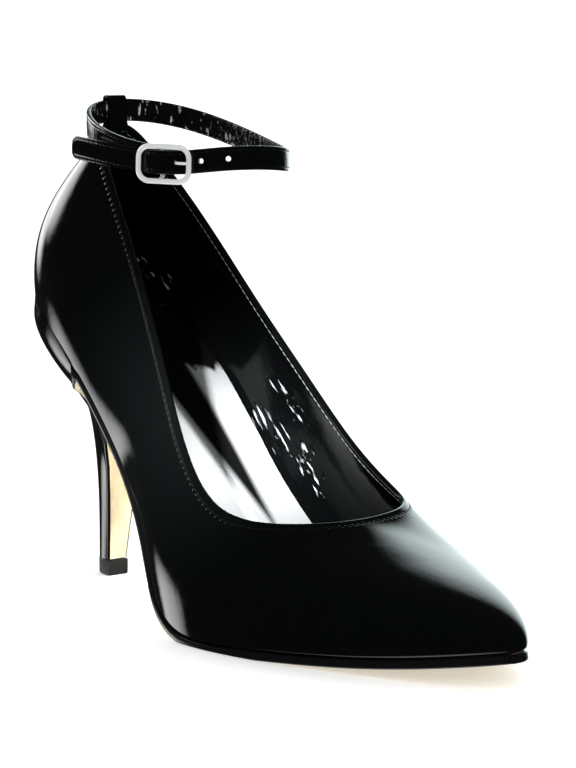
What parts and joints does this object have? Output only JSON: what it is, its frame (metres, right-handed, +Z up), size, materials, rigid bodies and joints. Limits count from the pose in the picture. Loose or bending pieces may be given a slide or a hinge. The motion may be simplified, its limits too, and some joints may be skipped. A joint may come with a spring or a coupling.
{
  "type": "ankle strap pump",
  "caption": "Right shoe: pointed pump in patent leather on a slim high heel, with a leather sole and a narrow strap around the ankle that fastens in a small buckle.",
  "frame": {"origin": "on the floor, under the middle of the shoe's box", "axes": "+X from the heel to the toe, +Y towards the big toe side, +Z up; the shoe stands on its heel tip and forefoot"},
  "size_m": [0.2272, 0.0849, 0.1621],
  "materials": {
    "upper_patent": "high gloss patent",
    "sock_lining": "silvery, glossy",
    "sole_leather": "smooth tan leather with a black edge",
    "heel_cover": "high gloss patent",
    "heel_tip": "matt black",
    "strap_patent": "high gloss patent",
    "buckle_metal": "polished"
  },
  "bodies": {
    "root": {"upper": "upper_patent", "insole": "sock_lining", "outsole": "sole_leather", "heel": "heel_cover", "top_piece": "heel_tip", "strap_loop": "strap_patent", "ankle_strap": "strap_patent", "buckle_frame": "buckle_metal", "buckle_prong": "buckle_metal"}
  },
  "joints": []
}
